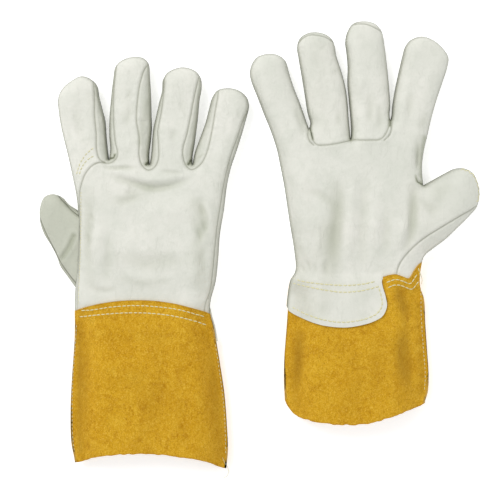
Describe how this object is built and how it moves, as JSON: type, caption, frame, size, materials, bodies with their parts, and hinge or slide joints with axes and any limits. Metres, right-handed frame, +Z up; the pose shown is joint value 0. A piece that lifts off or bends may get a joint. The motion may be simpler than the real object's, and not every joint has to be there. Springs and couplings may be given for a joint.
{
  "type": "pair of leather welding gauntlets",
  "caption": "Heavy leather work gauntlets with long flared split-leather cuffs, lying flat side by side, one back up and one palm up.",
  "frame": {"origin": "centre of the two gloves' plan box, on the surface they lie on", "axes": "+Z up, +Y toward the fingertips, +X from the palm-down glove to the palm-up glove"},
  "size_m": [0.3658, 0.3718, 0.03],
  "materials": {
    "grain_leather": "smooth pale grey grain leather",
    "split_leather": "brushed golden split leather",
    "thread": "heat-resistant sewing thread"
  },
  "bodies": {
    "palmdown_hand": {"palmdown_palm": "grain_leather", "palmdown_hand_back": "grain_leather", "palmdown_fourchette_forks": "grain_leather", "palmdown_hand_side_stitches": "thread"},
    "palmdown_cuff": {"palmdown_cuff_palm": "split_leather", "palmdown_cuff_back": "split_leather", "palmdown_palm_tongue": "grain_leather", "palmdown_wrist_stitches": "thread", "palmdown_cuff_side_stitches": "thread"},
    "palmdown_index": {"palmdown_index_wrap": "grain_leather", "palmdown_index_fourchette": "grain_leather"},
    "palmdown_middle": {"palmdown_middle_front": "grain_leather", "palmdown_middle_back": "grain_leather", "palmdown_middle_fourchette_index_side": "grain_leather", "palmdown_middle_fourchette_ring_side": "grain_leather"},
    "palmdown_ring": {"palmdown_ring_front": "grain_leather", "palmdown_ring_back": "grain_leather", "palmdown_ring_fourchette_middle_side": "grain_leather", "palmdown_ring_fourchette_little_side": "grain_leather"},
    "palmdown_little": {"palmdown_little_front": "grain_leather", "palmdown_little_back": "grain_leather", "palmdown_little_fourchette": "grain_leather"},
    "palmdown_thumb": {"palmdown_thumb_front": "grain_leather", "palmdown_thumb_back": "grain_leather"},
    "palmup_hand": {"palmup_palm": "grain_leather", "palmup_hand_back": "grain_leather", "palmup_fourchette_forks": "grain_leather"},
    "palmup_cuff": {"palmup_cuff_palm": "split_leather", "palmup_cuff_back": "split_leather", "palmup_palm_tongue": "grain_leather", "palmup_wrist_stitches": "thread", "palmup_cuff_side_stitches": "thread", "palmup_tongue_stitches": "thread"},
    "palmup_index": {"palmup_index_wrap": "grain_leather", "palmup_index_fourchette": "grain_leather"},
    "palmup_middle": {"palmup_middle_front": "grain_leather", "palmup_middle_back": "grain_leather", "palmup_middle_fourchette_index_side": "grain_leather", "palmup_middle_fourchette_ring_side": "grain_leather"},
    "palmup_ring": {"palmup_ring_front": "grain_leather", "palmup_ring_back": "grain_leather", "palmup_ring_fourchette_middle_side": "grain_leather", "palmup_ring_fourchette_little_side": "grain_leather"},
    "palmup_little": {"palmup_little_front": "grain_leather", "palmup_little_back": "grain_leather", "palmup_little_fourchette": "grain_leather"},
    "palmup_thumb": {"palmup_thumb_front": "grain_leather", "palmup_thumb_back": "grain_leather"}
  },
  "joints": [
    {"name": "palmdown_index_fold", "type": "hinge", "parent": "palmdown_hand", "child": "palmdown_index", "pos_m": [-0.1415, 0.06, 0.022], "axis": [1, 0, 0], "range_deg": [0, 70]},
    {"name": "palmdown_middle_fold", "type": "hinge", "parent": "palmdown_hand", "child": "palmdown_middle", "pos_m": [-0.107, 0.06, 0.022], "axis": [1, 0, 0], "range_deg": [0, 70]},
    {"name": "palmdown_ring_fold", "type": "hinge", "parent": "palmdown_hand", "child": "palmdown_ring", "pos_m": [-0.073, 0.06, 0.022], "axis": [1, 0, 0], "range_deg": [0, 70]},
    {"name": "palmdown_little_fold", "type": "hinge", "parent": "palmdown_hand", "child": "palmdown_little", "pos_m": [-0.0398, 0.06, 0.022], "axis": [1, 0, 0], "range_deg": [0, 70]},
    {"name": "palmdown_thumb_fold", "type": "hinge", "parent": "palmdown_hand", "child": "palmdown_thumb", "pos_m": [-0.1521, -0.006, 0.02], "axis": [0, 1, 0], "range_deg": [0, 60]},
    {"name": "palmdown_wrist_fold", "type": "hinge", "parent": "palmdown_hand", "child": "palmdown_cuff", "pos_m": [-0.097, -0.05, 0.025], "axis": [-1, 0, 0], "range_deg": [0, 60]},
    {"name": "palmup_index_fold", "type": "hinge", "parent": "palmup_hand", "child": "palmup_index", "pos_m": [0.124, 0.08, 0.022], "axis": [1, 0, 0], "range_deg": [0, 70]},
    {"name": "palmup_middle_fold", "type": "hinge", "parent": "palmup_hand", "child": "palmup_middle", "pos_m": [0.092, 0.08, 0.022], "axis": [1, 0, 0], "range_deg": [0, 70]},
    {"name": "palmup_ring_fold", "type": "hinge", "parent": "palmup_hand", "child": "palmup_ring", "pos_m": [0.06, 0.08, 0.022], "axis": [1, 0, 0], "range_deg": [0, 70]},
    {"name": "palmup_little_fold", "type": "hinge", "parent": "palmup_hand", "child": "palmup_little", "pos_m": [0.027, 0.08, 0.022], "axis": [1, 0, 0], "range_deg": [0, 70]},
    {"name": "palmup_thumb_fold", "type": "hinge", "parent": "palmup_hand", "child": "palmup_thumb", "pos_m": [0.1362, 0.0195, 0.02], "axis": [0, -1, 0], "range_deg": [0, 60]},
    {"name": "palmup_wrist_fold", "type": "hinge", "parent": "palmup_hand", "child": "palmup_cuff", "pos_m": [0.08, -0.028, 0.025], "axis": [-1, 0, 0], "range_deg": [0, 60]},
    {"name": "gloves_apart", "type": "slide", "parent": "palmdown_hand", "child": "palmup_hand", "axis": [1, 0, 0], "range_m": [0, 0.2]}
  ]
}
